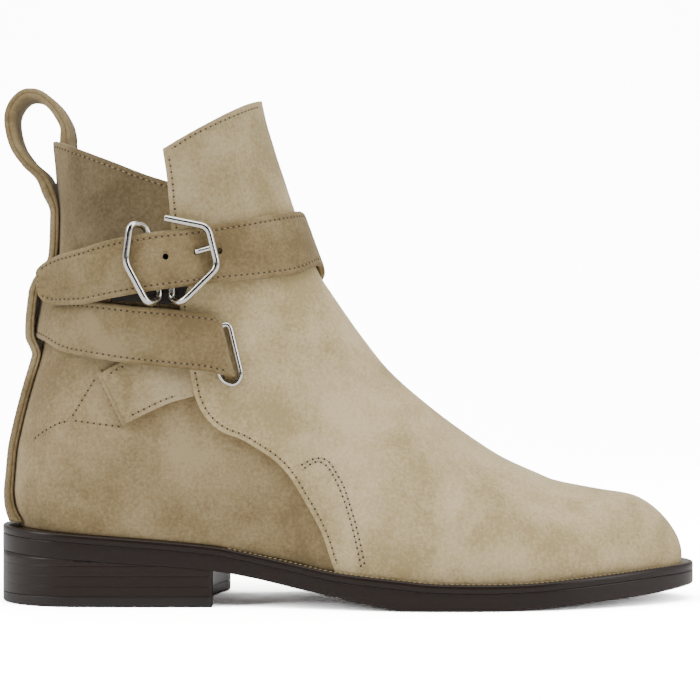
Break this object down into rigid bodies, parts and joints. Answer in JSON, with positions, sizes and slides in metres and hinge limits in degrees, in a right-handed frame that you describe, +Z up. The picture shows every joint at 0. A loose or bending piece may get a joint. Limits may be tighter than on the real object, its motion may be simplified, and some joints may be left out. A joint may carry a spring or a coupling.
{
  "type": "jodhpur boot",
  "caption": "Right suede jodhpur ankle boot with a tall front flap, a wrap strap through a wire buckle, a back pull loop, a leather sole and a low stacked heel.",
  "frame": {"origin": "on the floor under the middle of the boot's bounding box", "axes": "+X from heel to toe, +Z up, -Y to the lateral (outer) side, which faces the camera"},
  "size_m": [0.27, 0.0932, 0.1981],
  "materials": {
    "outsole": "dark brown, burnished edge",
    "welt": "dark brown, stitched",
    "heel_stack": "dark brown, stacked layers",
    "top_lift": "dark, matt",
    "insole": "natural tan, smooth",
    "quarters": "suede, taupe",
    "vamp": "suede, light taupe",
    "back_stay": "suede, taupe",
    "anchor_tab": "suede, taupe",
    "wrap_strap": "suede, taupe",
    "buckle_chape": "dark brown, smooth",
    "buckle_frame": "polished nickel",
    "buckle_prong": "polished nickel",
    "keeper_ring": "polished nickel",
    "vamp_ring": "polished nickel"
  },
  "bodies": {
    "root": {"outsole": "outsole", "welt": "welt", "heel_stack": "heel_stack", "top_lift": "top_lift", "insole": "insole", "quarters": "quarters", "vamp": "vamp", "back_stay": "back_stay", "anchor_tab": "anchor_tab", "wrap_strap": "wrap_strap", "buckle_chape": "buckle_chape", "buckle_frame": "buckle_frame", "buckle_prong": "buckle_prong", "keeper_ring": "keeper_ring", "vamp_ring": "vamp_ring"}
  },
  "joints": []
}
